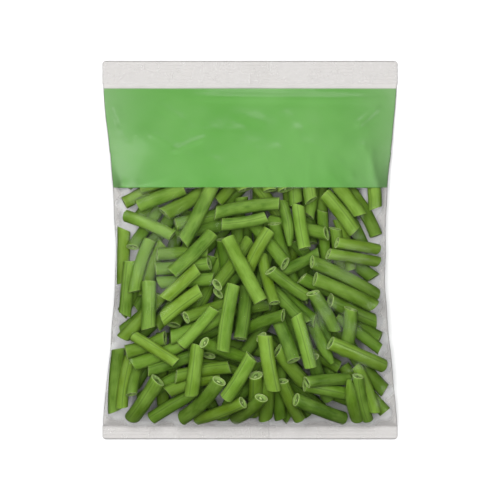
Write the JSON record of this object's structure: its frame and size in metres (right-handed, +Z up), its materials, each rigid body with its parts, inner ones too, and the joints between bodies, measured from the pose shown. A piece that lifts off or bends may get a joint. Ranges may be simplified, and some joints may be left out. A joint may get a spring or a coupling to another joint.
{
  "type": "bag of cut green beans",
  "caption": "Clear film pillow bag with a plain green printed header, filled with cut green bean pieces and lying on its back.",
  "frame": {"origin": "under the middle of the bag's length and width, on the surface that it lies on", "axes": "+X across the bag, +Y along it towards the printed header, +Z up out of its front face"},
  "size_m": [0.1822, 0.2344, 0.0441],
  "materials": {
    "film": "clear printed film, a little milky where it stands off what is in it",
    "header_print": "solid green ink on the film, satin",
    "bean_skin": "smooth, semi-matt green pod skin",
    "bean_flesh": "moist pale green cut face"
  },
  "bodies": {
    "root": {"bean_01": "bean_skin", "bean_02": "bean_skin", "bean_03": "bean_skin", "bean_04": "bean_skin", "bean_05": "bean_skin", "bean_06": "bean_skin", "bean_07": "bean_skin", "bean_08": "bean_skin", "bean_09": "bean_skin", "bean_10": "bean_skin", "bean_11": "bean_skin", "bean_12": "bean_skin", "bean_13": "bean_skin", "bean_14": "bean_skin", "bean_15": "bean_skin", "bean_16": "bean_skin", "bean_17": "bean_skin", "bean_18": "bean_skin", "bean_19": "bean_skin", "bean_20": "bean_skin", "bean_21": "bean_skin", "bean_22": "bean_skin", "bean_23": "bean_skin", "bean_24": "bean_skin", "bean_25": "bean_skin", "bean_26": "bean_skin", "bean_27": "bean_skin", "bean_28": "bean_skin", "bean_29": "bean_skin", "bean_30": "bean_skin", "bean_31": "bean_skin", "bean_32": "bean_skin", "bean_33": "bean_skin", "bean_34": "bean_skin", "bean_cluster_01": "bean_skin", "bean_cluster_02": "bean_skin", "bean_cluster_03": "bean_skin", "bean_cluster_04": "bean_skin", "bean_cluster_05": "bean_skin", "bean_cluster_06": "bean_skin", "bean_cluster_07": "bean_skin", "bean_cluster_08": "bean_skin", "bean_cluster_09": "bean_skin", "bean_cluster_10": "bean_skin", "bean_cluster_11": "bean_skin", "bean_cluster_12": "bean_skin", "bean_cluster_13": "bean_skin", "bean_cluster_14": "bean_skin", "bean_cluster_15": "bean_skin", "bean_cluster_16": "bean_skin", "bean_cluster_17": "bean_skin", "bean_cluster_18": "bean_skin", "bean_cluster_19": "bean_skin", "bean_cluster_20": "bean_skin", "bean_cluster_21": "bean_skin", "film_bag": "film"}
  },
  "joints": []
}
